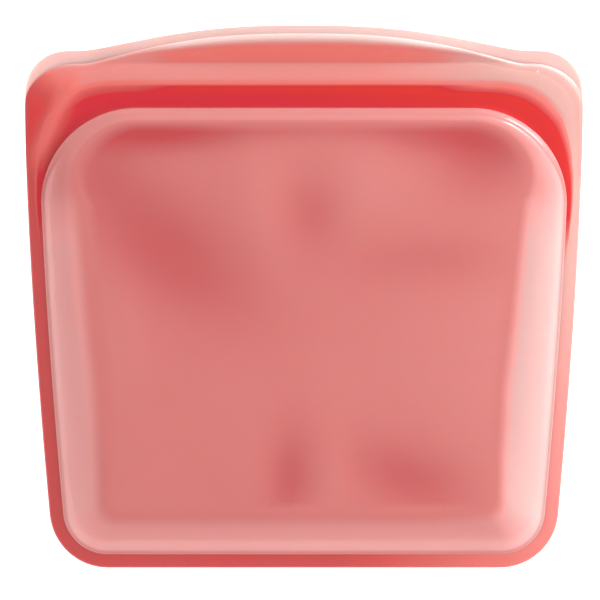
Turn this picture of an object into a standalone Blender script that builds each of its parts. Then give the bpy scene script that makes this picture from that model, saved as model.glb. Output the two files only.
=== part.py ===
"""A flat reusable silicone food bag, lying on its back.

Two shallow silicone mouldings are bonded round the sides and the base. The
mouth runs along the top (+Y) and closes with a rib that presses between two
rails. A pull tab stands above the seal on each half.

Metres. +X is the bag's right, +Y runs from the base to the mouth and +Z comes
out of the front face. The rear face lies on z = 0.
"""

import math

import bmesh
import bpy
import numpy as np

MM = 0.001

# Outline, seen from the front.
HALF_WIDTH = 95.25 * MM
BASE_Y = -92.4 * MM
BASE_CORNER_R = 20.0 * MM
TAPER = 8.0 * MM
TAPER_FROM_Y = 64.0 * MM
TAPER_LENGTH = 133.3 * MM
TAPER_POWER = 1.5

# The bonded rim.
RIM_WIDTH = 4.4 * MM
RIM_LOW_Z = 6.6 * MM
RIM_HIGH_Z = 9.4 * MM
RIM_TOP_Y = 64.0 * MM
SEAM_Z = 8.0 * MM
# Its section: how far in from the outline, and the height.
RIM_SECTION = (
    (0.0, 7.1 * MM), (0.25 * MM, 6.75 * MM), (0.8 * MM, RIM_LOW_Z), (RIM_WIDTH, RIM_LOW_Z),
    (RIM_WIDTH, RIM_HIGH_Z), (0.8 * MM, RIM_HIGH_Z), (0.25 * MM, 9.25 * MM), (0.0, 8.9 * MM),
)

# The pouch inside the rim.
GAP = 0.3 * MM
WALL = 1.2 * MM
POUCH_TOP_Y = 64.5 * MM
POUCH_CORNER_R = 32.5 * MM
FRONT_TOP_Z = 15.0 * MM
FRONT_RISE_PER_Y = 5.0 / 144.5
FRONT_SLOPE = {"base": 12.0 * MM, "low": 11.0 * MM, "high": 5.5 * MM, "mouth": 2.5 * MM}
REAR_SLOPE = {"base": 5.0 * MM, "low": 5.0 * MM, "high": 4.0 * MM, "mouth": 2.5 * MM}
SLOPE_Y = {"base": -92.0 * MM, "low": -60.0 * MM, "high": 40.0 * MM, "mouth": 64.5 * MM}
# The wall's curve, as shares of its width and of its rise, and where its inner face starts.
WALL_STEPS = ((0.0, 0.0), (0.14, 0.07), (0.5, 0.5), (0.84, 0.90), (1.0, 1.0))
WALL_FOOT = 0.9 * WALL

# The mouth: a thin web, then the seal band.
MOUTH_HALF = 84.3 * MM
WEB_LOW_Y = 64.8 * MM
WEB_HIGH_Y = 72.4 * MM
WEB_THICK = 0.9 * MM
FRONT_WEB_Z = 8.7 * MM
REAR_WEB_Z = 6.3 * MM
BAND_LOW_Y = 72.7 * MM
BAND_HIGH_Y = 79.9 * MM
BAND_THICK = 1.5 * MM
FRONT_BAND_Z = 9.5 * MM
REAR_BAND_Z = 5.0 * MM
SEAL_Y = 76.3 * MM
SEAL_HALF = 82.0 * MM
SEAL_LOW_Z = 6.8 * MM
SEAL_HIGH_Z = 9.2 * MM
RIB_ROOT = 1.6 * MM
RIB_TIP = 1.2 * MM
RAIL_ROOT = 1.1 * MM
RAIL_TIP = 0.9 * MM
RAIL_OFFSET = 2.05 * MM

# The pull tabs above the band: crown height over the shoulder, its reach and its curve.
TAB_HALF = 66.0 * MM
FRONT_TAB_LOW_Y = 80.3 * MM
FRONT_SHOULDER_Y = 79.6 * MM
FRONT_CROWN = 9.8 * MM
FRONT_CROWN_REACH = 75.0 * MM
FRONT_CROWN_CURVE = (2.6, 1.3)
FRONT_TAB_LIFT = 5.6 * MM
REAR_TAB_LOW_Y = 80.4 * MM
REAR_SHOULDER_Y = 84.1 * MM
REAR_CROWN = 8.8 * MM
REAR_CROWN_REACH = 76.0 * MM
REAR_CROWN_CURVE = (2.5, 1.4)
REAR_TAB_LIFT = -0.6 * MM
TAB_THICK = 1.5 * MM
BEAD_THICK = 2.1 * MM
TAB_LIFT_POWER = 1.5
BEAD_WIDTH = 1.8 * MM
# The bead's greatest share of a short tab, and its stations back from the lip.
BEAD_SHARE = 0.6
BEAD_STATIONS = (1.3, 0.7, 0.25, 0.0)

# The top corners, where both halves are bonded beyond the seal's ends.
CORNER_R = 15.25 * MM
CORNER_LOW_Y = 40.5 * MM
CORNER_TUCK = 0.5 * MM

# How far the edges of each plate are rounded.
PANEL_EDGE = 0.3 * MM
CORNER_EDGE = 0.3 * MM
WEB_EDGE = 0.2 * MM
BAND_EDGE = 0.35 * MM
SEAL_EDGE = 0.25 * MM

# Joint axes: all run along X, except the panel's, which runs along Z.
MOUTH_AXIS = (0.0, 65.6 * MM, 9.2 * MM)
FRONT_TAB_AXIS = (0.0, 80.1 * MM, 10.9 * MM)
REAR_TAB_AXIS = (0.0, 80.1 * MM, 5.75 * MM)
PANEL_ORIGIN = (0.0, -6.0 * MM, 17.0 * MM)
ORIGIN = (0.0, 0.0, 0.0)

FACE_COLOUR = (0.80, 0.20, 0.19)
WEB_COLOUR = (0.72, 0.06, 0.06)
SEAL_COLOUR = (0.86, 0.36, 0.32)
TAB_COLOUR = (0.88, 0.46, 0.40)
RIM_COLOUR = (0.62, 0.12, 0.12)


def clear_scene():
    for obj in list(bpy.data.objects):
        bpy.data.objects.remove(obj, do_unlink=True)


def silicone(name, colour):
    """A satin, slightly translucent rubber."""
    material = bpy.data.materials.new(name)
    material.use_nodes = True
    shader = material.node_tree.nodes["Principled BSDF"]
    shader.inputs["Base Color"].default_value = (*colour, 1.0)
    shader.inputs["Roughness"].default_value = 0.45
    shader.inputs["Subsurface Weight"].default_value = 0.2
    shader.inputs["Subsurface Scale"].default_value = 2.0 * MM
    return material


def add_object(name, points, faces, colour, origin=ORIGIN):
    """One closed body, its faces out, whose object origin is the given point."""
    mesh = bpy.data.meshes.new(name)
    local = [tuple(np.subtract(point, origin)) for point in points]
    mesh.from_pydata(local, [], faces)
    shape = bmesh.new()
    shape.from_mesh(mesh)
    bmesh.ops.recalc_face_normals(shape, faces=shape.faces)
    shape.to_mesh(mesh)
    shape.free()
    mesh.materials.append(silicone(name + "_silicone", colour))
    obj = bpy.data.objects.new(name, mesh)
    obj.location = origin
    bpy.context.scene.collection.objects.link(obj)
    return obj


def soften(obj, width):
    """Rounds the edges between faces that meet at more than 40 degrees."""
    bevel = obj.modifiers.new("soft edges", "BEVEL")
    bevel.width = width
    bevel.segments = 2
    bevel.limit_method = "ANGLE"
    bevel.angle_limit = math.radians(40.0)
    bevel.use_clamp_overlap = True


def sweep(sections, closed):
    """Points and faces of a body that runs through a row of closed sections."""
    count = len(sections[0])
    points = [point for section in sections for point in section]
    faces = []
    spans = len(sections) if closed else len(sections) - 1
    for i in range(spans):
        here = i * count
        there = ((i + 1) % len(sections)) * count
        for j in range(count):
            k = (j + 1) % count
            faces.append((here + j, here + k, there + k, there + j))
    if not closed:
        last = (len(sections) - 1) * count
        faces.append(tuple(range(count))[::-1])
        faces.append(tuple(range(last, last + count)))
    return points, faces


def prism(outline, low_z, high_z):
    """Points and faces of an upright plate with the given outline."""
    count = len(outline)
    points = [(x, y, low_z) for x, y in outline] + [(x, y, high_z) for x, y in outline]
    faces = [tuple(range(count))[::-1], tuple(range(count, 2 * count))]
    for i in range(count):
        k = (i + 1) % count
        faces.append((i, k, count + k, count + i))
    return points, faces


def half_width(y):
    """Half the bag's width at height y: full at the shoulders, less at the base."""
    drop = max(0.0, TAPER_FROM_Y - y) / TAPER_LENGTH
    return HALF_WIDTH - TAPER * drop**TAPER_POWER


def side_angle(y):
    """How far the side leans from the Y axis at height y, in radians."""
    drop = max(0.0, TAPER_FROM_Y - y) / TAPER_LENGTH
    return math.atan(TAPER * TAPER_POWER * drop ** (TAPER_POWER - 1.0) / TAPER_LENGTH)


def base_and_side(side_top_y, side_steps=9, arc_steps=9, base_steps=3):
    """Right half of the outline as (x, y, nx, ny), from the middle of the base to
    side_top_y, with the normal pointing out."""
    lean = side_angle(BASE_Y + BASE_CORNER_R)
    side_low_y = BASE_Y + BASE_CORNER_R * (1.0 - math.sin(lean))
    centre_x = half_width(side_low_y) - BASE_CORNER_R * math.cos(lean)
    centre_y = BASE_Y + BASE_CORNER_R
    path = []
    for i in range(base_steps):
        path.append((centre_x * i / base_steps, BASE_Y, 0.0, -1.0))
    for i in range(arc_steps + 1):
        turn = -math.pi / 2 + (math.pi / 2 - lean) * i / arc_steps
        nx = math.cos(turn)
        ny = math.sin(turn)
        path.append((centre_x + BASE_CORNER_R * nx, centre_y + BASE_CORNER_R * ny, nx, ny))
    for i in range(1, side_steps + 1):
        y = side_low_y + (side_top_y - side_low_y) * i / side_steps
        lean_here = side_angle(y)
        path.append((half_width(y), y, math.cos(lean_here), -math.sin(lean_here)))
    return path


def inset(path, distance):
    return [(x - nx * distance, y - ny * distance, nx, ny) for x, y, nx, ny in path]


def mirrored(path):
    return [(-x, y, -nx, ny) for x, y, nx, ny in path]


def pouch_corner():
    """Centre of the pouch's top right corner arc."""
    y = POUCH_TOP_Y - POUCH_CORNER_R
    return half_width(y) - RIM_WIDTH - GAP - POUCH_CORNER_R, y


def pouch_loop(arc_steps=10, top_steps=4):
    """Anticlockwise loop round the foot of the pouch's wall, just inside the rim."""
    corner_x, corner_y = pouch_corner()
    half = inset(base_and_side(corner_y), RIM_WIDTH + GAP)
    for i in range(1, arc_steps + 1):
        turn = math.pi / 2 * i / arc_steps
        nx = math.cos(turn)
        ny = math.sin(turn)
        half.append((corner_x + POUCH_CORNER_R * nx, corner_y + POUCH_CORNER_R * ny, nx, ny))
    for i in range(1, top_steps + 1):
        half.append((corner_x * (1.0 - i / top_steps), POUCH_TOP_Y, 0.0, 1.0))
    return half + mirrored(half)[-2:0:-1]


def slope_width(y, slopes):
    """Width of the pouch's sloping wall, seen from the front, at height y."""
    places = list(SLOPE_Y)
    return float(np.interp(y, [SLOPE_Y[p] for p in places], [slopes[p] for p in places]))


def front_face_z(y):
    """Height of the front face, deeper towards the base."""
    return FRONT_TOP_Z + (POUCH_TOP_Y - y) * FRONT_RISE_PER_Y


def wall_section(place, slopes, foot_z, seam_z, crown_z):
    """Section of the pouch's wall, from its foot at the rim to its crown."""
    x, y, nx, ny = place
    width = slope_width(y, slopes)
    rise = crown_z(y - ny * width) - foot_z
    inward = WALL if rise > 0 else -WALL

    def at(distance, z):
        return (x - nx * distance, y - ny * distance, z)

    outer = [at(t * width, foot_z + g * rise) for t, g in WALL_STEPS]
    inner = [
        at(WALL_FOOT + t * (width - WALL_FOOT), foot_z + g * rise - inward)
        for t, g in WALL_STEPS[:0:-1]
    ]
    seam = [at(WALL_FOOT, seam_z), at(0.0, seam_z)]
    return outer + inner + seam


def build_front_side_wall():
    sections = [
        wall_section(place, FRONT_SLOPE, RIM_HIGH_Z, SEAM_Z + GAP / 2, front_face_z)
        for place in pouch_loop()
    ]
    return add_object("front_side_wall", *sweep(sections, True), FACE_COLOUR)


def build_rear_side_wall():
    sections = [
        wall_section(place, REAR_SLOPE, RIM_LOW_Z, SEAM_Z - GAP / 2, lambda y: 0.0)
        for place in pouch_loop()
    ]
    return add_object("rear_side_wall", *sweep(sections, True), FACE_COLOUR)


def panel_outline(slopes):
    """The flat face inside the crown of the wall, with a gap round it."""
    outline = []
    for x, y, nx, ny in pouch_loop():
        distance = slope_width(y, slopes) + GAP
        outline.append((x - nx * distance, y - ny * distance))
    return outline


def build_front_panel():
    outline = panel_outline(FRONT_SLOPE)
    points, faces = prism(outline, 0.0, 0.0)
    count = len(outline)
    points = [
        (x, y, front_face_z(y) - (WALL if i < count else 0.0))
        for i, (x, y, _) in enumerate(points)
    ]
    panel = add_object("front_panel", points, faces, FACE_COLOUR, PANEL_ORIGIN)
    soften(panel, PANEL_EDGE)
    return panel


def build_rear_panel():
    points, faces = prism(panel_outline(REAR_SLOPE), 0.0, WALL)
    return add_object("rear_panel", points, faces, FACE_COLOUR)


def build_edge_band():
    """The bonded rim: one U round both sides and the base."""
    half = base_and_side(RIM_TOP_Y, side_steps=11)
    path = mirrored(half)[:0:-1] + half
    sections = [
        [(x - nx * d, y - ny * d, z) for d, z in RIM_SECTION]
        for x, y, nx, ny in path
    ]
    return add_object("edge_band", *sweep(sections, False), RIM_COLOUR)


def crown_edge(x, shoulder_y, crown, reach, curve):
    """Height of a lip's edge: a shoulder with a broad crown over the middle."""
    share = min(1.0, abs(x) / reach)
    return shoulder_y + crown * (1.0 - share ** curve[0]) ** curve[1]


def front_lip_y(x):
    return crown_edge(x, FRONT_SHOULDER_Y, FRONT_CROWN, FRONT_CROWN_REACH, FRONT_CROWN_CURVE)


def rear_lip_y(x):
    return crown_edge(x, REAR_SHOULDER_Y, REAR_CROWN, REAR_CROWN_REACH, REAR_CROWN_CURVE)


def corner_arc_y(x):
    """Height of the outline's top corner arc at x, level before the arc starts."""
    along = max(0.0, abs(x) - HALF_WIDTH + CORNER_R)
    return REAR_SHOULDER_Y - CORNER_R + math.sqrt(CORNER_R**2 - along**2)


def build_corner(name, side):
    """Bonded corner between the pouch's top corner, the rim and the seal's end."""
    corner_x, corner_y = pouch_corner()
    radius = POUCH_CORNER_R + GAP
    low_turn = math.asin((CORNER_LOW_Y - corner_y) / radius)
    high_turn = math.asin((POUCH_TOP_Y - CORNER_TUCK - corner_y) / radius)
    inner_x = MOUTH_HALF + GAP
    outline = []
    for i in range(7):
        turn = high_turn + (low_turn - high_turn) * i / 6
        outline.append((corner_x + radius * math.cos(turn), corner_y + radius * math.sin(turn)))
    for i in range(4):
        y = CORNER_LOW_Y + (RIM_TOP_Y + GAP - CORNER_LOW_Y) * i / 3
        outline.append((half_width(y) - RIM_WIDTH - GAP, y))
    outline.append((HALF_WIDTH, RIM_TOP_Y + GAP))
    arc_from = math.acos((inner_x - HALF_WIDTH + CORNER_R) / CORNER_R)
    for i in range(9):
        turn = arc_from * i / 8
        outline.append((
            HALF_WIDTH - CORNER_R + CORNER_R * math.cos(turn),
            REAR_SHOULDER_Y - CORNER_R + CORNER_R * math.sin(turn),
        ))
    outline.append((inner_x, POUCH_TOP_Y))
    outline.append((outline[0][0], POUCH_TOP_Y))
    if side < 0:
        outline = [(-x, y) for x, y in reversed(outline)]
    corner = add_object(name, *prism(outline, RIM_LOW_Z, RIM_HIGH_Z), RIM_COLOUR)
    soften(corner, CORNER_EDGE)
    return corner


def band_outline(lip_y, tab_gap_y):
    """A seal band: straight below, stepping up to the lip beyond the tab's ends."""
    outline = [(-MOUTH_HALF, BAND_LOW_Y), (MOUTH_HALF, BAND_LOW_Y)]
    ear_from = TAB_HALF + GAP
    ear = []
    for i in range(7):
        x = MOUTH_HALF + (ear_from - MOUTH_HALF) * i / 6
        ear.append((x, min(lip_y(x), corner_arc_y(x))))
    ear.append((ear_from, tab_gap_y))
    outline += ear
    outline += [(-x, y) for x, y in reversed(ear)]
    return outline


def build_web(name, low_z, origin):
    outline = [
        (-MOUTH_HALF, WEB_LOW_Y), (MOUTH_HALF, WEB_LOW_Y),
        (MOUTH_HALF, WEB_HIGH_Y), (-MOUTH_HALF, WEB_HIGH_Y),
    ]
    web = add_object(name, *prism(outline, low_z, low_z + WEB_THICK), WEB_COLOUR, origin)
    soften(web, WEB_EDGE)
    return web


def build_band(name, low_z, lip_y, origin):
    outline = band_outline(lip_y, BAND_HIGH_Y)
    band = add_object(name, *prism(outline, low_z, low_z + BAND_THICK), SEAL_COLOUR, origin)
    soften(band, BAND_EDGE)
    return band


def build_seal_strip(name, y, root, tip, root_z, tip_z, origin):
    """A straight strip across the mouth that narrows from its root to its tip."""
    corners = (
        (y - root / 2, root_z), (y - tip / 2, tip_z),
        (y + tip / 2, tip_z), (y + root / 2, root_z),
    )
    sections = [[(x, cy, cz) for cy, cz in corners] for x in (-SEAL_HALF, 0.0, SEAL_HALF)]
    strip = add_object(name, *sweep(sections, False), SEAL_COLOUR, origin)
    soften(strip, SEAL_EDGE)
    return strip


def tab_section(x, low_y, lip_y, middle_z, lift, bead):
    """Section of a pull tab at x: a lip that leans by lift over the crown's length and
    ends in a bead."""
    length = lip_y(x) - low_y
    full = lip_y(0.0) - low_y
    edge = min(BEAD_WIDTH, BEAD_SHARE * length)
    neck = length - BEAD_STATIONS[0] * edge
    along = [0.0, min(0.35 * length, 0.5 * neck)]
    along += [length - share * edge for share in BEAD_STATIONS]
    thick = [TAB_THICK / 2] * 3 + [bead / 2] * 2 + [bead / 5]
    middle = [middle_z + lift * (a / full) ** TAB_LIFT_POWER for a in along]
    lower = [(x, low_y + a, m - t) for a, m, t in zip(along, middle, thick)]
    upper = [(x, low_y + a, m + t) for a, m, t in zip(along, middle, thick)]
    return lower + upper[::-1]


def build_tab(name, low_y, lip_y, middle_z, lift, bead, origin):
    steps = 22
    sections = []
    for i in range(steps + 1):
        x = -TAB_HALF * math.cos(math.pi * i / steps)
        sections.append(tab_section(x, low_y, lip_y, middle_z, lift, bead))
    return add_object(name, *sweep(sections, False), TAB_COLOUR, origin)


def build_front_mouth():
    build_web("front_web", FRONT_WEB_Z, MOUTH_AXIS)
    build_band("front_seal_band", FRONT_BAND_Z, front_lip_y, MOUTH_AXIS)
    build_seal_strip(
        "front_seal_rib", SEAL_Y, RIB_ROOT, RIB_TIP, SEAL_HIGH_Z, SEAL_LOW_Z, MOUTH_AXIS
    )


def build_rear_mouth():
    build_web("rear_web", REAR_WEB_Z, ORIGIN)
    build_band("rear_seal_band", REAR_BAND_Z, rear_lip_y, ORIGIN)
    for name, side in (("rear_seal_lower_rail", -1), ("rear_seal_upper_rail", 1)):
        build_seal_strip(
            name, SEAL_Y + side * RAIL_OFFSET, RAIL_ROOT, RAIL_TIP, SEAL_LOW_Z, SEAL_HIGH_Z, ORIGIN
        )


def build_tabs():
    build_tab(
        "front_pull_tab", FRONT_TAB_LOW_Y, front_lip_y, FRONT_BAND_Z + BAND_THICK / 2,
        FRONT_TAB_LIFT, BEAD_THICK, FRONT_TAB_AXIS,
    )
    build_tab(
        "rear_pull_tab", REAR_TAB_LOW_Y, rear_lip_y, REAR_BAND_Z + BAND_THICK / 2,
        REAR_TAB_LIFT, TAB_THICK, REAR_TAB_AXIS,
    )


clear_scene()
build_rear_panel()
build_rear_side_wall()
build_front_side_wall()
build_front_panel()
build_edge_band()
build_corner("right_corner_gusset", 1)
build_corner("left_corner_gusset", -1)
build_front_mouth()
build_rear_mouth()
build_tabs()
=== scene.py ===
"""Looks of a reusable silicone food bag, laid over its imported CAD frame.

The bag lies on its back: +Y runs to the mouth and +Z comes out of the front.
Each half is a thin skin whose plan follows one family of lines: the pouch's
foot, the valley, the seal band and the outline. Lengths are in millimetres in
the shape functions, and in metres on the meshes, the lights and the camera.
"""

import math

import bmesh
import bpy
import numpy as np
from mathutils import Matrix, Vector


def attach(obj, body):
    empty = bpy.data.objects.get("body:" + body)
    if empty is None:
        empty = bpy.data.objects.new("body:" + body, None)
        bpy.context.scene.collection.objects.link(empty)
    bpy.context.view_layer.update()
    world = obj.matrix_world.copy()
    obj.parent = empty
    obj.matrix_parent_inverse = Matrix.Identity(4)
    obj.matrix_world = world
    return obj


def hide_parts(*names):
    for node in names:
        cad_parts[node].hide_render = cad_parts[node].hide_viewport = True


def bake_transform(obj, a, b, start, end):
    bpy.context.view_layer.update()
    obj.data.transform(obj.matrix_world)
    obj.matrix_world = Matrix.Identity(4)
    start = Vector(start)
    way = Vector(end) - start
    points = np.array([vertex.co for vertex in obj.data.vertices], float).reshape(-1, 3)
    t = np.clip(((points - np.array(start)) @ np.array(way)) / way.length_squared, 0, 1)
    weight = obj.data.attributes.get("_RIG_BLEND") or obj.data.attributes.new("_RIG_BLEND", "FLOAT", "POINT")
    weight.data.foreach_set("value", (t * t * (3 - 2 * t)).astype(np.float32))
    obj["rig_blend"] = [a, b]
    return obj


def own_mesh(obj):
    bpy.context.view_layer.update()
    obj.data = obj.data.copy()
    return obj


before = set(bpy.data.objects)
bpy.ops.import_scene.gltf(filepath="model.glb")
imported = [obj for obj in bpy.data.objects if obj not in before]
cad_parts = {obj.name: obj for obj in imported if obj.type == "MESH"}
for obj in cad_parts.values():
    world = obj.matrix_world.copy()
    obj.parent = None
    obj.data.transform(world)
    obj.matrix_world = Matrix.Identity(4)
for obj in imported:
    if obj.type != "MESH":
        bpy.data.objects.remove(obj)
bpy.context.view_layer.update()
MM = 0.001

# ---------------------------------------------------------------- outline, mm
HALF_WIDTH = 95.25
BASE_Y = -92.4
BASE_CORNER_R = 20.0
TAPER = 8.0
TAPER_FROM_Y = 64.0
TAPER_LENGTH = 133.3
TAPER_POWER = 1.5
RIM_WIDTH = 4.7
POUCH_TOP_Y = 64.5
POUCH_CORNER_R = 32.5
VALLEY_TOP_Y = 72.7
BAND_TOP_Y = 79.9
VALLEY_END_Y = 11.0
# The valley's width round the pouch's corner: degrees from the side, mm.
VALLEY_AT_CORNER = (
    (0, 2.0), (9, 2.6), (21, 4.4), (32, 7.0), (43, 10.0), (55, 11.1), (64, 11.1), (74, 9.8),
    (82, 8.6), (90, 8.2),
)
SEAM_Z = 8.0
SKIN = 1.4
TAB_HALF = 51.0
REAR_LIP_FROM_Y = 64.0

# Each half's lip and corner; how far up its lift each edge level has climbed; and how
# far each edge level comes back towards the seam.
FRONT = {
    "lip": {"shoulder": 79.6, "crown": 9.8, "reach": 75.0, "power": 2.6, "fade": 1.3},
    "corner": {"from_x": 78.5, "low_y": 66.0, "power": 1.85},
    "lift": (0.0, 0.0, 0.01, 0.05, 0.14, 0.30, 0.55, 0.80, 0.93, 0.99, 1.0, 1.0),
    "lift_mm": 5.8,
    "back": (0.0,) * 12,
}
REAR = {
    "lip": {"shoulder": 84.1, "crown": 8.8, "reach": 76.0, "power": 2.5, "fade": 1.4},
    "corner": {"from_x": 79.5, "low_y": 69.0, "power": 2.2},
    "lift": (0.0, 0.02, 0.05, 0.12, 0.22, 0.34, 0.48, 0.64, 0.80, 0.92, 0.98, 1.0),
    "lift_mm": 1.1,
    "back": (0.0, 0.2, 0.4, 0.7, 0.95, 1.15, 1.3, 1.4, 1.45, 1.4, 1.3, 1.1),
}


def smooth(edge0, edge1, value):
    """Eases from 0 at edge0 to 1 at edge1."""
    share = np.clip((np.asarray(value, float) - edge0) / (edge1 - edge0), 0.0, 1.0)
    return share * share * (3.0 - 2.0 * share)


def half_width(y):
    """Half the outline's width at y: the sides draw in towards the base."""
    drop = np.maximum(0.0, TAPER_FROM_Y - np.asarray(y, float)) / TAPER_LENGTH
    return HALF_WIDTH - TAPER * drop**TAPER_POWER


def side_angle(y):
    """The side's lean at y, in radians."""
    drop = np.maximum(0.0, TAPER_FROM_Y - np.asarray(y, float)) / TAPER_LENGTH
    return np.arctan(TAPER * TAPER_POWER * drop ** (TAPER_POWER - 1.0) / TAPER_LENGTH)


def lip_y(x, lip):
    """Height of a lip's edge: level shoulders with a broad crown over the middle."""
    share = np.minimum(1.0, np.abs(x) / lip["reach"])
    return lip["shoulder"] + lip["crown"] * (1.0 - share ** lip["power"]) ** lip["fade"]


def outline_top(x, lip, corner):
    """Top of a half's outline at x, with its rounded corner."""
    share = np.clip((np.abs(x) - corner["from_x"]) / (HALF_WIDTH - corner["from_x"]), 0.0, 1.0)
    drop = (1.0 - share ** corner["power"]) ** (1.0 / corner["power"])
    return corner["low_y"] + (lip_y(x, lip) - corner["low_y"]) * drop


# ------------------------------------------------------------ plan of columns
# A column is a line across the flange. Its row holds four points (the pouch's foot,
# the valley's outer edge, the band's outer edge and the outline), its outward normal,
# its drift (the way it moves when the pouch's wall rounds its base corner) and its
# ease (1 down the sides, where it has the rim's heights, and 0 along the mouth).
BASE_COLUMNS = 14
BASE_CORNER_COLUMNS = 16
SIDE_COLUMNS = 34
MOUTH_CORNER_COLUMNS = 48
TOP_COLUMNS = 40
# The valley's width along the rim, and what it gains up the side.
RIM_VALLEY = 0.5
SIDE_VALLEY_GROWTH = 1.5
# Where the band ends beside the pouch, as a share of the way from valley to outline.
CREST_SHARE = 0.55
# Distances from the centre of the pouch's top corner to inside and outside the outline.
OUTLINE_BETWEEN = (28.0, 60.0)
HALVINGS = 40


def rim_row(out, normal, valley, drift):
    """A column across the bonded rim, inwards from its point on the outline."""
    foot = (out[0] - normal[0] * RIM_WIDTH, out[1] - normal[1] * RIM_WIDTH)
    dip = (foot[0] + normal[0] * valley, foot[1] + normal[1] * valley)
    crest = tuple((1.0 - CREST_SHARE) * a + CREST_SHARE * b for a, b in zip(dip, out))
    return (foot, dip, crest, out, normal, drift, 1.0)


def rim_rows(end_y):
    """Columns from the base's middle, round the base corner and up the side to end_y."""
    lean = float(side_angle(BASE_Y + BASE_CORNER_R))
    low_y = BASE_Y + BASE_CORNER_R * (1.0 - math.sin(lean))
    base_x = float(half_width(low_y)) - BASE_CORNER_R * math.cos(lean)
    base_y = BASE_Y + BASE_CORNER_R
    rows = []
    for i in range(BASE_COLUMNS):
        share = i / BASE_COLUMNS
        rows.append(rim_row((base_x * share, BASE_Y), (0.0, -1.0), RIM_VALLEY, (-share, 0.0)))
    for i in range(BASE_CORNER_COLUMNS + 1):
        turn = -math.pi / 2 + (math.pi / 2 - lean) * i / BASE_CORNER_COLUMNS
        nx, ny = math.cos(turn), math.sin(turn)
        out = (base_x + BASE_CORNER_R * nx, base_y + BASE_CORNER_R * ny)
        rows.append(rim_row(out, (nx, ny), RIM_VALLEY, (nx - 1.0, ny + 1.0)))
    for i in range(1, SIDE_COLUMNS):
        share = i / SIDE_COLUMNS
        y = low_y + (end_y - low_y) * share
        a = float(side_angle(y))
        valley = RIM_VALLEY + SIDE_VALLEY_GROWTH * float(smooth(VALLEY_END_Y - 4.0, end_y, y))
        normal = (math.cos(a), -math.sin(a))
        rows.append(rim_row((float(half_width(y)), y), normal, valley, (0.0, 1.0 - share)))
    return rows


def mouth_corner_rows(lip, corner, centre_x, centre_y):
    """Columns round the pouch's top corner, each out to where it meets the outline."""
    degrees = np.linspace(0.0, 90.0, MOUTH_CORNER_COLUMNS + 1)
    nx, ny = np.cos(np.radians(degrees)), np.sin(np.radians(degrees))
    low, high = (np.full(nx.shape, distance) for distance in OUTLINE_BETWEEN)
    for _ in range(HALVINGS):
        mid = 0.5 * (low + high)
        x, y = centre_x + mid * nx, centre_y + mid * ny
        inside = (x < half_width(y)) & (y < outline_top(np.minimum(x, HALF_WIDTH), lip, corner))
        low, high = np.where(inside, mid, low), np.where(inside, high, mid)
    valley = POUCH_CORNER_R + np.interp(degrees, *zip(*VALLEY_AT_CORNER))
    top_share = (BAND_TOP_Y - VALLEY_TOP_Y) / (outline_top(centre_x, lip, corner) - VALLEY_TOP_Y)
    share = CREST_SHARE + (top_share - CREST_SHARE) * smooth(20.0, 90.0, degrees)
    ease = 1.0 - smooth(25.0, 82.0, degrees)
    rows = []
    for k in range(len(degrees)):
        band = valley[k] + share[k] * (low[k] - valley[k])
        radii = (POUCH_CORNER_R, valley[k], band, low[k])
        spots = [(centre_x + r * nx[k], centre_y + r * ny[k]) for r in radii]
        rows.append((*spots, (nx[k], ny[k]), (0.0, 0.0), ease[k]))
    return rows


def top_rows(lip, corner, from_x):
    """Columns along the mouth, from from_x to its middle."""
    rows = []
    for i in range(1, TOP_COLUMNS + 1):
        x = from_x * (1.0 - i / TOP_COLUMNS)
        top = float(outline_top(x, lip, corner))
        spots = ((x, POUCH_TOP_Y), (x, VALLEY_TOP_Y), (x, BAND_TOP_Y), (x, top))
        rows.append((*spots, (0.0, 1.0), (0.0, 0.0), 0.0))
    return rows


def plan(lip, corner):
    """Columns all round the bag, anticlockwise from the base's middle, as arrays by name."""
    centre_y = POUCH_TOP_Y - POUCH_CORNER_R
    centre_x = float(half_width(centre_y)) - RIM_WIDTH - POUCH_CORNER_R
    right = rim_rows(centre_y) + mouth_corner_rows(lip, corner, centre_x, centre_y)
    right += top_rows(lip, corner, centre_x)
    left = [tuple((-p[0], p[1]) for p in row[:-1]) + row[-1:] for row in right[-2:0:-1]]
    names = ("foot", "valley", "band", "edge", "normal", "drift", "ease")
    return {name: np.array(values) for name, values in zip(names, zip(*right, *left))}


# ---------------------------------------------------------------- flange skins
# Each level is (share of its span, height at the mouth, tone at the mouth).
# The valley's low tones are a deep red that is partly the thin web and partly painted shade: the
# inter-reflected shade of the hollow between the seal band and the pouch.
VALLEY_LEVELS = (
    (0.00, 9.50, 0.12), (0.05, 9.28, 0.09), (0.14, 9.15, 0.08), (0.28, 9.12, 0.08),
    (0.45, 9.20, 0.08), (0.60, 9.34, 0.06), (0.76, 9.54, 0.03), (0.90, 9.78, 0.04),
    (0.95, 9.88, 0.32),
)
# The seal band's pale tones are partly its thicker silicone and partly a painted sheen on its flat top.
BAND_LEVELS = (
    (0.00, 9.98, 0.46), (0.10, 10.13, 0.49), (0.20, 10.27, 0.57), (0.32, 10.41, 0.60),
    (0.50, 10.55, 0.60), (0.70, 10.60, 0.60), (0.86, 10.55, 0.60), (0.97, 10.48, 0.60),
)
EDGE_LEVELS = (
    (0.00, 10.43, 0.48), (0.06, 10.37, 0.45), (0.14, 10.33, 0.45), (0.28, 10.31, 0.45),
    (0.44, 10.27, 0.45), (0.56, 10.20, 0.47), (0.66, 10.10, 0.58), (0.76, 9.96, 0.74),
    (0.85, 9.80, 0.84), (0.92, 9.62, 0.84), (0.97, 9.42, 0.84), (1.00, 9.15, 0.84),
)
# Tones that a level takes away from the mouth's middle.
RIM_TONE = 0.20
BAND_TONE = 0.60
CORNER_WEB_TONE = 0.50
CORNER_BEAD_TONE = 0.70
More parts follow.
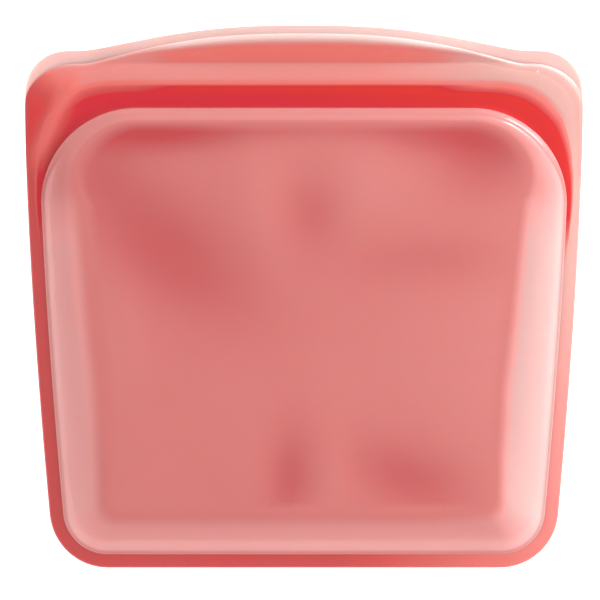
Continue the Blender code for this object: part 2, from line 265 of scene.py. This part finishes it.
# Painted light: the rear lip's tones are raised against the shadow that the front lip casts on it, most in
# the middle.
REAR_LIP_TONE = 0.79
REAR_LIP_MIDDLE_LIGHT = 0.16
TROUGH_SHADE_TONE = 0.11
FOLD_HIGHLIGHT_TONE = 0.38
RIM_TOP_Z = 9.5
RIM_DROOP = 1.15
RIM_ROUND = 0.35
# A soft fold across the front's left corner, from the seal band to the pouch's side.
FOLD = ((-80.0, 72.5), (-91.5, 46.0))
FOLD_WIDTH = 3.0
FOLD_HEIGHT = 0.6


def fold_at(xy):
    """The fold's share at each point, and how far outside the fold the point is."""
    start, end = (np.array(p) for p in FOLD)
    run = end - start
    length = float(np.linalg.norm(run))
    away = xy - start
    along = away @ run / length**2
    off = (away[:, 0] * run[1] - away[:, 1] * run[0]) / length
    window = smooth(-0.3, 0.15, along) * (1.0 - smooth(0.8, 1.2, along))
    return np.exp(-((off / FOLD_WIDTH) ** 2)) * window, off


def rim_tone_with_light(x, y, across):
    """The bonded rim: deep red, deepened by painted shade at its rounded outer edge, and paled by painted
    light to the right and up the right side, where the key light falls.
    """
    tone = RIM_TONE + 0.33 * smooth(5.0, 85.0, x) - 0.05 * smooth(0.7, 1.0, across)
    return tone + 0.17 * smooth(60.0, 88.0, x) * smooth(-95.0, 30.0, y)


def web_shaded_tone(x, share, tone):
    """The thin web's deep red, partly its thin skin and partly painted shade, which pales at its outer edge
    towards the mouth's corners.
    """
    tone = tone - 0.04 * smooth(-20.0, 70.0, x)
    soft = smooth(40.0, 65.0, x) + 0.6 * smooth(40.0, 65.0, -x)
    soft = soft * smooth(0.60, 0.90, share)
    return tone + soft * (CORNER_WEB_TONE - tone)


def lip_tone(x, tone, half):
    """The rear's pale lip, lightened by painted light against the front lip's shadow, most in the middle; or
    the front's lip, which turns into a plain bead past its tab.
    """
    if half is REAR:
        return REAR_LIP_TONE + REAR_LIP_MIDDLE_LIGHT * (1.0 - smooth(20.0, 80.0, np.abs(x)))
    bead = min(max(tone, BAND_TONE), CORNER_BEAD_TONE)
    return tone + (bead - tone) * smooth(40.0, 58.0, np.abs(x))


def with_fold_light_and_shade(xy, across, tone):
    """Tones with the fold's painted highlight, and a deep red band of painted shade just outside it."""
    x, y = xy[:, 0], xy[:, 1]
    fold, outside = fold_at(xy)
    # Painted shade: a deep red band just outside the fold at the front's left corner, as if in a hollow
    # there; the fold itself gets a painted highlight.
    trough_shade = smooth(1.5, 5.5, outside) * smooth(20.0, 50.0, y) * smooth(70.0, 78.0, -x)
    trough_shade = trough_shade * (1.0 - smooth(64.0, 75.0, y)) * (1.0 - smooth(0.86, 0.98, across))
    tone = tone + trough_shade * (TROUGH_SHADE_TONE - tone)
    return tone + fold * (FOLD_HIGHLIGHT_TONE - tone)


def flange_tone(xy, across, share, tone, start, ease, half):
    """A level's tone at the mouth, which fades to the rim's down the sides."""
    x, y = xy[:, 0], xy[:, 1]
    if start == "band":
        tone = lip_tone(x, tone, half)
    if start == "foot":
        tone = web_shaded_tone(x, share, tone)
        keep = smooth(VALLEY_END_Y, 30.0, y)
    elif half is REAR:
        keep = smooth(45.0, 62.0, y)
    else:
        # Painted light and shade: the front's flange is paler to the right, where the key light falls, a
        # little darker to the left, and on the left it gives way to the rim's deep red sooner.
        tone = tone + 0.11 * smooth(20.0, 80.0, x) - 0.02 * smooth(30.0, 80.0, -x)
        keep = 1.0 - smooth(0.45, 1.0, ease + 0.25 * smooth(0.0, -40.0, x))
    rim = rim_tone_with_light(x, y, across)
    faded = rim + (tone - rim) * keep
    return faded if half is REAR else with_fold_light_and_shade(xy, across, faded)


def flange(columns, half):
    """Points (columns x levels x 3, mm, seen as the front) and tones of a flange."""
    foot, edge, ease = columns["foot"], columns["edge"], columns["ease"]
    width = np.linalg.norm(edge - foot, axis=1)
    crown = edge[:, 1] - BAND_TOP_Y
    climb = np.clip(crown / crown.max(), 0.0, 1.0) * (1.0 - ease)
    spans = (
        (VALLEY_LEVELS, "foot", "valley"), (BAND_LEVELS, "valley", "band"),
        (EDGE_LEVELS, "band", "edge"),
    )
    points, tones = [], []
    for levels, start, end in spans:
        for k, (share, mouth_z, tone) in enumerate(levels):
            xy = columns[start] + share * (columns[end] - columns[start])
            across = np.linalg.norm(xy - foot, axis=1) / width
            rim_z = RIM_TOP_Z - RIM_DROOP * across**1.6 - RIM_ROUND * smooth(0.88, 1.0, across)
            if start == "band":
                mouth_z = mouth_z - half["back"][k] + half["lift_mm"] * half["lift"][k] * climb
            z = (1.0 - ease) * mouth_z + ease * rim_z + FOLD_HEIGHT * fold_at(xy)[0]
            points.append(np.column_stack([xy, z]))
            tones.append(flange_tone(xy, across, share, tone, start, ease, half))
    return np.stack(points, axis=1), np.stack(tones, axis=1)


def rear_view(points):
    """The same heights turned to the back: mirrored in the seam plane."""
    turned = points.copy()
    turned[..., 2] = 2.0 * SEAM_Z - turned[..., 2]
    return turned


# ---------------------------------------------------------------------- pouch
# Walls by the y of their foot: y, reach inwards in mm, and the power of their curve.
FRONT_WALL = (
    (-92.0, 15.5, 2.0), (-62.0, 18.0, 2.0), (-38.0, 19.0, 2.6), (9.0, 17.0, 3.0),
    (33.0, 16.0, 3.4), (50.0, 9.0, 2.8), (64.5, 5.2, 2.2),
)
REAR_WALL = ((-92.0, 7.6, 2.0), (-60.0, 7.6, 2.0), (40.0, 6.2, 2.0), (64.5, 4.2, 2.0))
# The wall's foot is a small rounded step: inset in mm, and share of the step's height.
STEP = (
    (0.0, 0.0), (0.10, 0.34), (0.22, 0.56), (0.38, 0.68), (0.58, 0.74), (0.85, 0.785),
    (1.20, 0.842), (1.55, 0.898), (1.85, 0.94), (2.20, 0.975), (2.60, 1.0),
)
STEP_HEIGHT = 0.5
MOUTH_STEP_HEIGHT = 4.6
REAR_STEP_LIMIT = 2.5
FRONT_FOOT_Z = 9.5
REAR_FOOT_Z = 6.5
FACE_MOUTH_Z = 15.0
FACE_RISE = 5.0
FACE_LENGTH = 144.5
WALL_STEPS = 18
CORNER_EASE = 0.025
# The share of its reach over which the wall's painted sheen clears.
CLEARING = 0.34
FACE_RINGS = 30
FACE_MIDDLE = (0.0, -12.0)
FACE_TONE = 0.35
SAG_MM = 1.2
# Soft dents and swells that the flexible face keeps: x, y, half-length, half-width,
# turn in degrees, and depth or height.
DENTS = (
    (-52.0, 57.0, 30.0, 7.0, 0.0, 1.6), (51.5, 55.5, 30.0, 8.0, -5.0, 1.1),
    (0.0, 60.0, 34.0, 5.0, 0.0, 0.7), (-50.0, 18.0, 38.0, 17.0, -38.0, 0.9),
    (2.0, 28.0, 10.0, 12.0, 0.0, 0.55), (-5.0, -62.0, 7.0, 17.0, 0.0, 0.8),
    (36.0, -62.0, 22.0, 12.0, -25.0, 0.8), (43.0, 12.0, 28.0, 9.0, 0.0, 0.4),
    (-70.0, 44.0, 12.0, 12.0, 0.0, 0.3), (60.0, 44.0, 16.0, 11.0, 0.0, 0.6),
)
SWELLS = (
    (-15.0, 30.0, 9.0, 25.0, 10.0, 0.5), (22.0, 38.0, 13.0, 13.0, 0.0, 0.6),
    (10.5, -62.0, 5.0, 15.0, 0.0, 0.4), (9.0, -25.0, 42.0, 17.0, 0.0, 0.15),
    (-70.0, -10.0, 13.0, 36.0, 0.0, 0.8), (48.0, -15.0, 20.0, 32.0, 0.0, 0.3),
)


def front_face_z(y):
    """The front face tilts: it stands highest at the base."""
    return FACE_MOUTH_Z + (POUCH_TOP_Y - y) * FACE_RISE / FACE_LENGTH


def rear_face_z(y):
    """The rear face lies flat on the ground."""
    return np.zeros_like(y)


def bumps(x, y, places):
    """How deep or high the dents or swells are at each point, added together."""
    total = np.zeros_like(x)
    for cx, cy, length, width, turn, depth in places:
        a = math.radians(turn)
        u = (x - cx) * math.cos(a) + (y - cy) * math.sin(a)
        v = (y - cy) * math.cos(a) - (x - cx) * math.sin(a)
        total += depth * np.exp(-((u / length) ** 2) - (v / width) ** 2)
    return total


def wall_sheen(foot, normal, near_mouth):
    """How much paler the wall's foot is than the face, as a painted sheen of the side lamps: most at the
    sides, more on the right and along the mouth.
    """
    x, y = foot[:, 0], foot[:, 1]
    sheen = (0.19 + 0.17 * np.abs(normal[:, 0])) * (1.0 - smooth(15.0, 50.0, y))
    sheen = sheen + 0.12 * near_mouth
    return sheen + 0.13 * smooth(60.0, 86.0, x) * (1.0 - smooth(44.0, 62.0, y))


def wall_levels(columns, wall, foot_z, face_z, front):
    """The wall's points and tones, level by level from its foot over its step to the face."""
    foot, normal = columns["foot"], columns["normal"]
    wall_y, reaches, powers = zip(*wall)
    width = np.interp(foot[:, 1], wall_y, reaches)
    power = np.interp(foot[:, 1], wall_y, powers)
    near_mouth = smooth(36.0, 54.0, foot[:, 1])
    step = STEP_HEIGHT + (MOUTH_STEP_HEIGHT - STEP_HEIGHT) * near_mouth
    step = step if front else -np.minimum(step, REAR_STEP_LIMIT)
    spread = 0.35 + 0.65 * near_mouth
    sheen = wall_sheen(foot, normal, near_mouth)
    # The share of the wall's reach at which its painted sheen starts to clear.
    clear_from = 0.54 + 0.16 * smooth(40.0, 80.0, foot[:, 0])
    rows = [(inset, up, 0.0) for inset, up in STEP]
    rows += [(STEP[-1][0], 1.0, k / WALL_STEPS) for k in range(1, WALL_STEPS + 1)]
    points, tones = [], []
    for inset, up, share in rows:
        reach = inset * spread + (width - inset * spread) * share
        xy = foot - normal * reach[:, None]
        xy = xy + columns["drift"] * (CORNER_EASE * reach**2)[:, None]
        base = foot_z + up * step
        top = face_z(xy[:, 1]) - base
        points.append(np.column_stack([xy, base + top * (1.0 - (1.0 - share) ** power)]))
        cleared = smooth(clear_from, clear_from + CLEARING, share)
        tones.append(FACE_TONE + sheen * (1.0 - cleared))
    return points, tones


def face_levels(start, sheen, face_z, relief):
    """The face's points and tones, in rings that close in from the wall's top. Its second argument is
    what is left of the wall's painted sheen there, and relief is the share of the face's sag,
    dents and swells."""
    points, tones = [], []
    for k in range(1, FACE_RINGS + 1):
        share = (k / FACE_RINGS) ** 0.9 * 0.985
        xy = start + share * (np.array(FACE_MIDDLE) - start)
        x, y = xy[:, 0], xy[:, 1]
        hollow, swell = bumps(x, y, DENTS), bumps(x, y, SWELLS)
        rise = float(smooth(0.0, 0.14, share)) * (swell - hollow)
        sag = SAG_MM * float(smooth(0.0, 1.0, share))
        points.append(np.column_stack([xy, face_z(y) + relief * (rise - sag)]))
        # Painted shade darkens the face in its dents, and painted light makes it paler on its swells and
        # towards the right.
        tone = 0.02 * smooth(-30.0, 70.0, x) + 0.08 * swell - 0.25 * hollow
        tone = FACE_TONE + relief * float(smooth(0.0, 0.03, share)) * tone
        tones.append(tone + sheen * (1.0 - float(smooth(0.0, 0.3, share))))
    return points, tones


def pan(columns, wall, foot_z, face_z, front):
    """Wall and face of one half of the pouch: points (columns x levels x 3) and tones."""
    points, tones = wall_levels(columns, wall, foot_z, face_z, front)
    sheen = tones[-1] - FACE_TONE
    relief = 1.0 if front else 0.0
    face_points, face_tones = face_levels(points[-1][:, :2], sheen, face_z, relief)
    return np.stack(points + face_points, axis=1), np.stack(tones + face_tones, axis=1)


# --------------------------------------------------------------------- meshes
LEAST_WALL = 0.04
CREASE_ANGLE = 60.0


def place_mesh(name, mesh, tones):
    """Adds a mesh to the scene, with a tone for each of its points."""
    tone = mesh.attributes.new("tone", "FLOAT", "POINT")
    tone.data.foreach_set("value", tones.astype(np.float32))
    obj = bpy.data.objects.new(name, mesh)
    bpy.context.scene.collection.objects.link(obj)
    return obj


def skin_mesh(name, points, tones, keep=None, flip=False, cap=False):
    """A smooth quad skin over a closed grid of points in mm. keep says which quads are
    made, as columns x (levels - 1); cap closes the last level with one face."""
    columns, levels, _ = points.shape
    faces = []
    for i in range(columns):
        here, there = i * levels, ((i + 1) % columns) * levels
        for j in range(levels - 1):
            if keep is None or keep[i, j]:
                faces.append((here + j, there + j, there + j + 1, here + j + 1))
    if cap:
        faces.append(tuple(i * levels + levels - 1 for i in range(columns)))
    if flip:
        faces = [face[::-1] for face in faces]
    used = sorted({k for face in faces for k in face})
    place = {k: n for n, k in enumerate(used)}
    vertices = (points.reshape(-1, 3)[used] * MM).tolist()
    mesh = bpy.data.meshes.new(name)
    mesh.from_pydata(vertices, [], [tuple(place[k] for k in face) for face in faces])
    mesh.shade_smooth()
    shape = bmesh.new()
    shape.from_mesh(mesh)
    for edge in shape.edges:
        edge.smooth = not edge.is_boundary
    shape.to_mesh(mesh)
    shape.free()
    return place_mesh(name, mesh, tones.reshape(-1)[used])


def thicken(obj):
    """Gives a skin its wall, on the side away from its outer face. The wall thins
    where it comes near the seam between the halves, so that neither crosses it."""
    group = obj.vertex_groups.new(name="wall")
    for vertex in obj.data.vertices:
        depth = abs(vertex.co.z / MM - SEAM_Z) / SKIN
        group.add([vertex.index], min(1.0, max(LEAST_WALL, depth)), "REPLACE")
    solid = obj.modifiers.new("wall", "SOLIDIFY")
    solid.vertex_group = group.name
    solid.thickness = SKIN * MM
    solid.offset = -1.0
    solid.use_even_offset = False
    solid.use_rim = True
    return obj


def tube_mesh(name, sections, tone):
    """A capped tube through closed sections (mm), shaded smooth but for its creases."""
    count = len(sections[0])
    vertices = [tuple(np.array(p) * MM) for section in sections for p in section]
    faces = []
    for i in range(len(sections) - 1):
        here, there = i * count, (i + 1) * count
        for j in range(count):
            k = (j + 1) % count
            faces.append((here + j, here + k, there + k, there + j))
    faces.append(tuple(range(count))[::-1])
    faces.append(tuple(range(len(vertices) - count, len(vertices))))
    mesh = bpy.data.meshes.new(name)
    mesh.from_pydata(vertices, [], faces)
    shape = bmesh.new()
    shape.from_mesh(mesh)
    bmesh.ops.recalc_face_normals(shape, faces=shape.faces)
    shape.to_mesh(mesh)
    shape.free()
    mesh.shade_smooth()
    mesh.set_sharp_from_angle(angle=math.radians(CREASE_ANGLE))
    return place_mesh(name, mesh, np.full(len(vertices), tone))


# ------------------------------------------------------------------ materials
# Base colours by tone. The flange: the thin web's deep red, partly painted shade, the bonded rim with
# painted light and shade, the fold's painted highlight and the painted shade outside it, the tab's coral
# root, the seal band, pale partly with painted sheen, and the thick milk-pale corners, lips and rolled edge,
# the rear lip's raised with painted light.
# The pouch: the dents' painted shade, face, crown and the wall's painted sheen.
FLANGE_COLOURS = (
    (0.02, (0.40, 0.010, 0.004)), (0.08, (0.37, 0.003, 0.015)), (0.13, (0.385, 0.026, 0.026)),
    (0.20, (0.350, 0.042, 0.042)), (0.26, (0.40, 0.054, 0.050)), (0.38, (0.43, 0.086, 0.078)),
    (0.45, (0.485, 0.108, 0.092)), (0.53, (0.46, 0.130, 0.116)), (0.60, (0.450, 0.160, 0.146)),
    (0.69, (0.405, 0.225, 0.200)), (0.80, (0.48, 0.330, 0.308)), (0.86, (0.55, 0.410, 0.385)),
    (0.95, (0.52, 0.420, 0.395)),
)
POUCH_COLOURS = (
    (0.00, (0.29, 0.028, 0.033)), (0.18, (0.30, 0.064, 0.065)), (0.38, (0.358, 0.112, 0.105)),
    (0.50, (0.385, 0.144, 0.136)), (0.68, (0.455, 0.194, 0.184)), (1.00, (0.31, 0.258, 0.242)),
)
FLANGE_ROUGHNESS = 0.36
POUCH_ROUGHNESS = 0.50
CLOUD_TONE = 0.05
# The emission is a painted coral glow that stands in for the light that comes through the skin, and keeps
# its folds and shaded sides red.
SILICONE = {
    "Subsurface Weight": 0.5,
    "Subsurface Radius": (1.0, 0.28, 0.24),
    "Subsurface Scale": 0.0022,
    "IOR": 1.42,
    "Emission Color": (1.0, 0.17, 0.14, 1.0),
    "Emission Strength": 0.07,
    "Coat Weight": 0.5,
    "Coat Roughness": 0.13,
}


def noise(nodes, links, place, scale, detail):
    """Noise that is fixed to the object, as a socket."""
    texture = nodes.new("ShaderNodeTexNoise")
    texture.inputs["Scale"].default_value = scale
    texture.inputs["Detail"].default_value = detail
    links.new(place.outputs["Object"], texture.inputs["Vector"])
    return texture.outputs["Fac"]


def clouded_tone(nodes, links, cloud):
    """The mesh's own tone, shifted a little up or down by the cloud."""
    tone = nodes.new("ShaderNodeAttribute")
    tone.attribute_name = "tone"
    lowered = nodes.new("ShaderNodeMath")
    lowered.operation = "SUBTRACT"
    lowered.inputs[1].default_value = 0.5 * CLOUD_TONE
    links.new(tone.outputs["Fac"], lowered.inputs[0])
    drift = nodes.new("ShaderNodeMath")
    drift.operation = "MULTIPLY_ADD"
    drift.inputs[1].default_value = CLOUD_TONE
    links.new(cloud, drift.inputs[0])
    links.new(lowered.outputs[0], drift.inputs[2])
    return drift.outputs[0]


def colour_ramp(nodes, colours):
    """A ramp with a stop for each (place, colour)."""
    ramp = nodes.new("ShaderNodeValToRGB")
    stops = ramp.color_ramp.elements
    for stop, (spot, colour) in zip(stops, (colours[0], colours[-1])):
        stop.position = spot
        stop.color = (*colour, 1.0)
    for spot, colour in colours[1:-1]:
        stops.new(spot).color = (*colour, 1.0)
    return ramp


def silicone(name, colours, roughness):
    """Translucent coral silicone: a deep red where the skin is thin or folded in, deepened there with
    painted shade, a milk-pale coral where it is thick, paled in places with painted light and sheen, with a
    faint moulded texture and cloudiness, and a faint painted coral glow."""
    material = bpy.data.materials.new(name)
    material.use_nodes = True
    nodes, links = material.node_tree.nodes, material.node_tree.links
    shader = nodes["Principled BSDF"]
    for socket, value in SILICONE.items():
        shader.inputs[socket].default_value = value

    place = nodes.new("ShaderNodeTexCoord")
    cloud = noise(nodes, links, place, 26.0, 3.0)
    ramp = colour_ramp(nodes, colours)
    links.new(clouded_tone(nodes, links, cloud), ramp.inputs["Fac"])
    links.new(ramp.outputs["Color"], shader.inputs["Base Color"])

    speckle = noise(nodes, links, place, 900.0, 2.0)
    gloss = nodes.new("ShaderNodeMapRange")
    gloss.inputs["To Min"].default_value = roughness - 0.05
    gloss.inputs["To Max"].default_value = roughness + 0.06
    links.new(speckle, gloss.inputs["Value"])
    links.new(gloss.outputs["Result"], shader.inputs["Roughness"])
    bump = nodes.new("ShaderNodeBump")
    bump.inputs["Strength"].default_value = 0.12
    bump.inputs["Distance"].default_value = 0.00008
    links.new(speckle, bump.inputs["Height"])
    links.new(bump.outputs["Normal"], shader.inputs["Normal"])
    return material


def paper():
    """Pale studio paper with a faint mottle and a lift that keeps it white."""
    material = bpy.data.materials.new("studio_paper")
    material.use_nodes = True
    nodes, links = material.node_tree.nodes, material.node_tree.links
    shader = nodes["Principled BSDF"]
    shader.inputs["Roughness"].default_value = 0.9
    shader.inputs["Specular IOR Level"].default_value = 0.1
    shader.inputs["Emission Color"].default_value = (1.0, 1.0, 1.0, 1.0)
    shader.inputs["Emission Strength"].default_value = 0.6
    mottle = nodes.new("ShaderNodeTexNoise")
    mottle.inputs["Scale"].default_value = 3.0
    ramp = nodes.new("ShaderNodeValToRGB")
    ramp.color_ramp.elements[0].color = (0.93, 0.93, 0.93, 1.0)
    ramp.color_ramp.elements[1].color = (0.96, 0.96, 0.96, 1.0)
    links.new(mottle.outputs["Fac"], ramp.inputs["Fac"])
    links.new(ramp.outputs["Color"], shader.inputs["Base Color"])
    return material


# --------------------------------------------------------------------- pieces
STIFF_CORNER_X = 87.0
FRONT_LIP_FROM_Y = 60.0
FRONT_CURL_Y = (80.0, 88.5)
REAR_CURL_Y = (80.0, 91.0)
# The seal's strips: width at the root and at the tip, height of the root and of the tip.
RIB = (1.8, 1.3, 9.9, 6.9)
RAIL = (1.2, 0.9, 6.0, 9.1)
RIB_Y = 76.3
LOWER_RAIL_Y = 74.25
UPPER_RAIL_Y = 78.35
SEAL_REACH = 80.0
SEAL_SECTIONS = 121
SEAL_TONE = 0.9


def mouth_weight(x, y):
    """Share of the mouth's swing that a point takes: all over the middle, none at
    the bonded corners and at the pouch's edge."""
    across = 1.0 - smooth(TAB_HALF, STIFF_CORNER_X, np.abs(x))
    return across * smooth(64.3, 67.5, y)


def tab_weight(x, y, low_y, high_y):
    """Share of a tab's curl: none along its root and at its ends."""
    across = 1.0 - smooth(26.0, TAB_HALF - 1.0, np.abs(x))
    return across * smooth(low_y, high_y, y)


def bend(obj, parent, child, weights):
    """Blends a piece between two bodies with its own weight for each point."""
    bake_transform(obj, parent, child, start=(0, 0, 0), end=(0, 1, 0))
    share = obj.data.attributes["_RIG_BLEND"]
    share.data.foreach_set("value", weights.astype(np.float32))


def xy_of(obj):
    """The x and the y of a piece's points, in mm."""
    flat = np.empty(len(obj.data.vertices) * 3)
    obj.data.vertices.foreach_get("co", flat)
    return flat.reshape(-1, 3)[:, 0] / MM, flat.reshape(-1, 3)[:, 1] / MM


def finish_piece(obj, material):
    obj.data.materials.append(material)


def build_half(side, half, material):
    """Flange skins of one half: the mouth skin with the rim, and the lip cut out of it.
    They come after the half's columns, which the pouch starts from."""
    columns = plan(half["lip"], half["corner"])
    points, tones = flange(columns, half)
    edge_x, edge_y = columns["edge"].T
    if side == "rear":
        points = rear_view(points)
        in_lip = edge_y > REAR_LIP_FROM_Y
    else:
        in_lip = (np.abs(edge_x) <= TAB_HALF) & (edge_y > FRONT_LIP_FROM_Y)
    root = len(VALLEY_LEVELS) + len(BAND_LEVELS)
    lip_quads = np.zeros((len(in_lip), points.shape[1] - 1), bool)
    lip_quads[:, root:] = (in_lip & np.roll(in_lip, -1))[:, None]
    flip = side == "front"
    mouth = skin_mesh(side + "_mouth_skin", points, tones, ~lip_quads, flip=flip)
    tab = skin_mesh(side + "_lip_skin", points, tones, lip_quads, flip=flip)
    for piece, slot in ((mouth, "seal_silicone"), (tab, "tab_silicone")):
        thicken(piece)
        finish_piece(piece, material)
    return columns, mouth, tab


def strip(name, y, shape, material):
    """A rib or rail across the mouth, with a rounded tip and tapered ends."""
    root, tip, root_z, tip_z = shape
    lean = 1.0 if tip_z > root_z else -1.0
    profile = (
        (-root / 2, root_z), (-tip / 2 - 0.05, tip_z - lean * 0.7),
        (-tip / 2 + 0.1, tip_z - lean * 0.25), (-tip / 4, tip_z - lean * 0.03),
        (tip / 4, tip_z - lean * 0.03), (tip / 2 - 0.1, tip_z - lean * 0.25),
        (tip / 2 + 0.05, tip_z - lean * 0.7), (root / 2, root_z),
    )
    sections = []
    for x in np.linspace(-SEAL_REACH, SEAL_REACH, SEAL_SECTIONS):
        height = 0.05 + 0.95 * float(smooth(SEAL_REACH, SEAL_REACH - 4.0, abs(x)))
        sections.append([(x, y + dy, root_z + (z - root_z) * height) for dy, z in profile])
    obj = tube_mesh(name, sections, SEAL_TONE)
    finish_piece(obj, material)
    return obj


def add_front_flange(mouth, tab):
    bend(mouth, "rear_half", "front_mouth", mouth_weight(*xy_of(mouth)))
    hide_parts("front_web", "front_seal_band")
    bend(tab, "front_mouth", "front_tab", tab_weight(*xy_of(tab), *FRONT_CURL_Y))
    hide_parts("front_pull_tab")


def add_rear_flange(mouth, tab):
    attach(mouth, "rear_half")
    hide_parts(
        "rear_web", "rear_seal_band", "edge_band",
        "left_corner_gusset", "right_corner_gusset",
    )
    bend(tab, "rear_half", "rear_tab", tab_weight(*xy_of(tab), *REAR_CURL_Y))
    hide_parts("rear_pull_tab")


def add_pouch(columns, material):
    points, tones = pan(columns, FRONT_WALL, FRONT_FOOT_Z, front_face_z, front=True)
    front = thicken(skin_mesh("front_pouch_skin", points, tones, cap=True))
    finish_piece(front, material)
    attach(front, "rear_half")
    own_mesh(front)
    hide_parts("front_panel", "front_side_wall")

    points, tones = pan(columns, REAR_WALL, REAR_FOOT_Z, rear_face_z, front=False)
    rear = thicken(skin_mesh("rear_pouch_skin", points, tones, cap=True, flip=True))
    finish_piece(rear, material)
    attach(rear, "rear_half")
    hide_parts("rear_panel", "rear_side_wall")


def add_seal(material):
    rib = strip("seal_rib", RIB_Y, RIB, material)
    bend(rib, "rear_half", "front_mouth", mouth_weight(*xy_of(rib)))
    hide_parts("front_seal_rib")
    for name, y, node in (
        ("seal_lower_rail", LOWER_RAIL_Y, "rear_seal_lower_rail"),
        ("seal_upper_rail", UPPER_RAIL_Y, "rear_seal_upper_rail"),
    ):
        rail = strip(name, y, RAIL, material)
        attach(rail, "rear_half")
        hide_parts(node)


def build_bag():
    flange_material = silicone("flange_silicone", FLANGE_COLOURS, FLANGE_ROUGHNESS)
    pouch_material = silicone("pouch_silicone", POUCH_COLOURS, POUCH_ROUGHNESS)
    columns, mouth, tab = build_half("front", FRONT, flange_material)
    _, rear_mouth, rear_tab = build_half("rear", REAR, flange_material)
    add_front_flange(mouth, tab)
    add_rear_flange(rear_mouth, rear_tab)
    add_pouch(columns, pouch_material)
    add_seal(flange_material)


# ----------------------------------------------------- studio and camera, metres
# Soft lights: place, size, power, and whether the skin mirrors them.
SOFT_LIGHTS = {
    "right_key": ((0.72, 0.0, 0.50), (0.9, 0.95), 13.8, False),
    "left_fill": ((-0.85, 0.0, 0.37), (0.9, 0.7), 7.0, False),
    "front_fill": ((0.0, -0.85, 0.38), (0.9, 0.7), 5.0, False),
    "back_fill": ((0.0, 0.85, 0.37), (0.9, 0.7), 2.6, False),
    "glint": ((0.56, 0.64, 0.28), (0.42, 0.06), 8.0, True),
}
LIT_POINT = (0.0, 0.0, 0.01)
SKY_STRENGTH = 0.42
FLOOR_HALF = 2.0
FLOOR_Z = -0.0004
FLOOR_POINTS = 24
SENSOR_MM = 36.0
VIEW_WIDTH = 0.2048
CAMERA_PLACE = (-0.00137, -0.00102, 1.308)
RIM_LEVEL = 0.008


def soft_light(name, place, size, power, mirrored):
    """An area light; only a mirrored one shows in the skin's reflections."""
    data = bpy.data.lights.new(name, "AREA")
    data.shape = "RECTANGLE"
    data.size, data.size_y = size
    data.energy = power
    lamp = bpy.data.objects.new(name, data)
    bpy.context.scene.collection.objects.link(lamp)
    lamp.location = place
    lamp.visible_glossy = mirrored
    aim = Vector(LIT_POINT) - lamp.location
    lamp.rotation_euler = aim.to_track_quat("-Z", "Y").to_euler()


def build_floor():
    spread = np.linspace(-FLOOR_HALF, FLOOR_HALF, FLOOR_POINTS)
    vertices = [(x, y, FLOOR_Z) for y in spread for x in spread]
    corners = [
        j * FLOOR_POINTS + i
        for j in range(FLOOR_POINTS - 1)
        for i in range(FLOOR_POINTS - 1)
    ]
    faces = [(k, k + 1, k + FLOOR_POINTS + 1, k + FLOOR_POINTS) for k in corners]
    mesh = bpy.data.meshes.new("floor")
    mesh.from_pydata(vertices, [], faces)
    floor = bpy.data.objects.new("floor", mesh)
    bpy.context.scene.collection.objects.link(floor)
    mesh.materials.append(paper())


def build_studio():
    build_floor()
    for name, (place, size, power, mirrored) in SOFT_LIGHTS.items():
        soft_light(name, place, size, power, mirrored)
    world = bpy.data.worlds.new("studio")
    bpy.context.scene.world = world
    world.use_nodes = True
    background = world.node_tree.nodes["Background"]
    background.inputs["Color"].default_value = (1.0, 1.0, 1.0, 1.0)
    background.inputs["Strength"].default_value = SKY_STRENGTH


def build_camera():
    """A long lens straight above, which takes in the view's width at the bag's rim."""
    data = bpy.data.cameras.new("camera")
    data.sensor_width = SENSOR_MM
    data.lens = SENSOR_MM * (CAMERA_PLACE[2] - RIM_LEVEL) / VIEW_WIDTH
    data.clip_end = 20.0
    camera = bpy.data.objects.new("camera", data)
    bpy.context.scene.collection.objects.link(camera)
    camera.location = CAMERA_PLACE
    bpy.context.scene.camera = camera


build_bag()
build_studio()
build_camera()
bpy.context.scene.view_settings.view_transform = "Standard"
